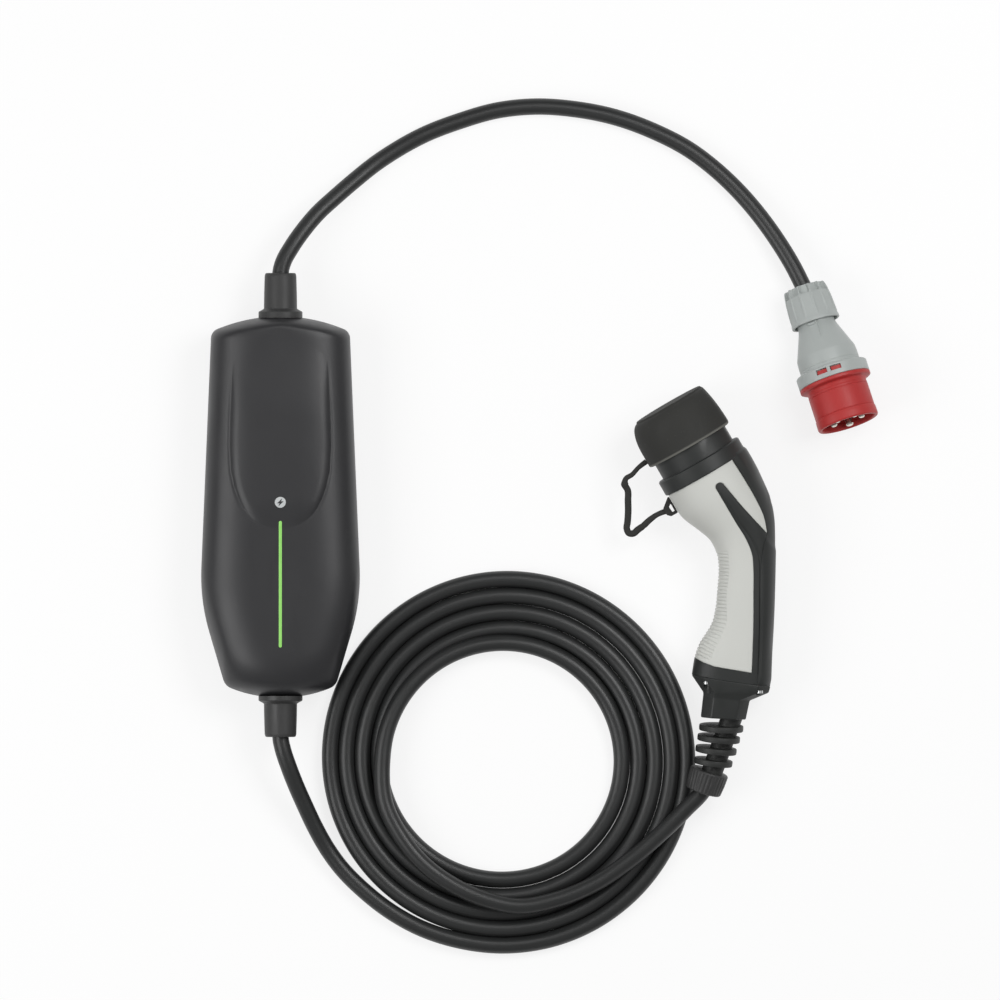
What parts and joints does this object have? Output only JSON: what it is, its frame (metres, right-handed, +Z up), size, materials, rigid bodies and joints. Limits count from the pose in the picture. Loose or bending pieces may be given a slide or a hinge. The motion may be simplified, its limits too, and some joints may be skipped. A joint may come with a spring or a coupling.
{
  "type": "portable ev charger",
  "caption": "Portable electric vehicle charger: tapered control box with light bar, supply lead to an industrial plug and coiled lead to a pistol-grip vehicle connector with tethered cap.",
  "frame": {"origin": "on the floor under the middle of the control box and its two strain reliefs", "axes": "+Y along the box towards the supply lead, +Z up from the rear face through the light bar face"},
  "size_m": [0.5071, 0.6408, 0.0725],
  "materials": {
    "box_plastic": "fine moulded texture, dark grey",
    "seal_rubber": "soft black seal",
    "screw_steel": "plated screw",
    "light_guide": "translucent green light guide",
    "indicator_lens": "pale clear lens",
    "board_laminate": "green circuit board",
    "component_plastic": "dark component cases",
    "terminal_plastic": "green terminal blocks",
    "wire_jacket": "coloured wire insulation",
    "relief_rubber": "moulded dark grey rubber",
    "cable_jacket": "smooth satin cable jacket",
    "plug_grey": "light grey moulded plastic",
    "plug_red": "red moulded plastic",
    "contact_metal": "nickel plated contacts",
    "connector_black": "black moulded plastic",
    "grip_grey": "pale grey moulded plastic",
    "cap_rubber": "matt black rubber"
  },
  "bodies": {
    "charger": {"box_top_shell": "box_plastic", "box_rear_shell": "box_plastic", "box_gasket": "seal_rubber", "case_screws": "screw_steel", "light_bar": "light_guide", "charge_lens": "indicator_lens", "led_board": "board_laminate", "circuit_board": "board_laminate", "power_relays": "component_plastic", "power_supply_module": "component_plastic", "filter_capacitors": "component_plastic", "residual_current_sensor": "component_plastic", "input_terminals": "terminal_plastic", "output_terminals": "terminal_plastic", "input_wires": "wire_jacket", "output_wires": "wire_jacket", "inlet_relief": "relief_rubber", "outlet_relief": "relief_rubber", "supply_cable": "cable_jacket", "plug_gland_nut": "plug_grey", "plug_gland_seal": "seal_rubber", "plug_body": "plug_grey", "plug_front": "plug_red", "latch_tabs": "plug_red", "pin_carrier": "plug_red", "line_pins": "contact_metal", "earth_pin": "contact_metal", "charge_cable_lead": "cable_jacket", "charge_cable_coil": "cable_jacket", "charge_cable_tail": "cable_jacket", "boot_nut": "connector_black", "cord_boot": "relief_rubber", "gun_end_cap": "connector_black", "end_cap_screws": "screw_steel", "gun_frame": "connector_black", "grip_panel_left": "grip_grey", "grip_panel_right": "grip_grey", "gun_nose": "connector_black", "contact_insert": "connector_black", "power_contacts": "contact_metal", "signal_contacts": "contact_metal", "cap_tether": "cap_rubber", "tether_eyelet": "cap_rubber"},
    "cap": {"nose_cap": "cap_rubber"}
  },
  "joints": [
    {"name": "cap_pull", "type": "slide", "parent": "charger", "child": "cap", "axis": [-0.5, 0.8647, 0.0483], "range_m": [0, 0.045], "deforming": ["cap_tether"]}
  ]
}
